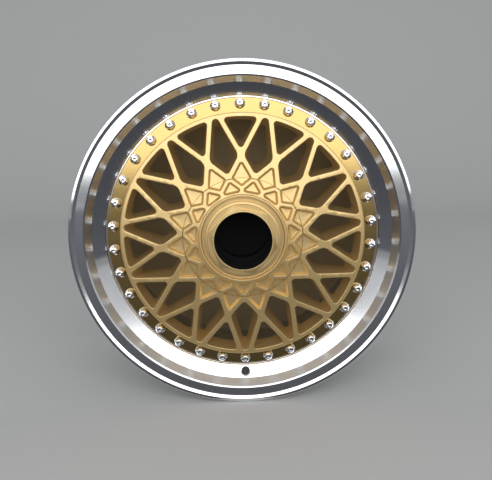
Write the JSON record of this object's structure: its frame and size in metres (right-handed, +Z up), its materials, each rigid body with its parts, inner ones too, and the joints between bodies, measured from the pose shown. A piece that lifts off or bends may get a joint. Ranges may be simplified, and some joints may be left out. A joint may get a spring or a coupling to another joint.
{
  "type": "racing wheel rim",
  "caption": "Three-piece forged road-racing wheel: crossed-spoke gold centre bolted between a polished stepped lip and a barrel, with a cover plate held by a hexagonal ring nut.",
  "frame": {"origin": "on the axle line, at the centre of the overall box", "axes": "+Y along the axle towards the vehicle side, the show face looks towards -Y, +Z up with the valve hole at the foot, +X to the right as the show face is seen"},
  "size_m": [0.4406, 0.2474, 0.4388],
  "materials": {
    "polished_aluminium": "turned and mirror polished",
    "satin_aluminium": "satin, machined",
    "gold_paint": "satin gold paint over forged aluminium, glossy on the bolting face",
    "chrome": "bright chrome",
    "bright_steel": "bright",
    "grey_sealant": "matt bead",
    "black_rubber": "matt"
  },
  "bodies": {
    "rim": {"centre_disc": "gold_paint", "outer_lip": "polished_aluminium", "inner_barrel": "satin_aluminium", "rim_seal": "grey_sealant", "cover_seal_ring": "black_rubber", "cover_pin_1": "bright_steel", "cover_pin_2": "bright_steel", "assembly_bolt_01": "chrome", "assembly_bolt_02": "chrome", "assembly_bolt_03": "chrome", "assembly_bolt_04": "chrome", "assembly_bolt_05": "chrome", "assembly_bolt_06": "chrome", "assembly_bolt_07": "chrome", "assembly_bolt_08": "chrome", "assembly_bolt_09": "chrome", "assembly_bolt_10": "chrome", "assembly_bolt_11": "chrome", "assembly_bolt_12": "chrome", "assembly_bolt_13": "chrome", "assembly_bolt_14": "chrome", "assembly_bolt_15": "chrome", "assembly_bolt_16": "chrome", "assembly_bolt_17": "chrome", "assembly_bolt_18": "chrome", "assembly_bolt_19": "chrome", "assembly_bolt_20": "chrome", "assembly_bolt_21": "chrome", "assembly_bolt_22": "chrome", "assembly_bolt_23": "chrome", "assembly_bolt_24": "chrome", "assembly_bolt_25": "chrome", "assembly_bolt_26": "chrome", "assembly_bolt_27": "chrome", "assembly_bolt_28": "chrome", "assembly_bolt_29": "chrome", "assembly_bolt_30": "chrome", "assembly_bolt_31": "chrome", "assembly_bolt_32": "chrome", "assembly_bolt_33": "chrome", "assembly_bolt_34": "chrome"},
    "cover": {"waffle_cover": "gold_paint"},
    "nut": {"hex_nut": "gold_paint"}
  },
  "joints": [
    {"name": "cover_lift", "type": "slide", "parent": "rim", "child": "cover", "axis": [0, -1, 0], "range_m": [0, 0.0101]},
    {"name": "nut_turn", "type": "hinge", "parent": "cover", "child": "nut", "pos_m": [0, 0, 0], "axis": [0, -1, 0], "range_deg": [0, 1800]}
  ],
  "couplings": [
    {"joint": "cover_lift", "follows": "nut_turn", "m_per_rad": 0.00031831}
  ]
}
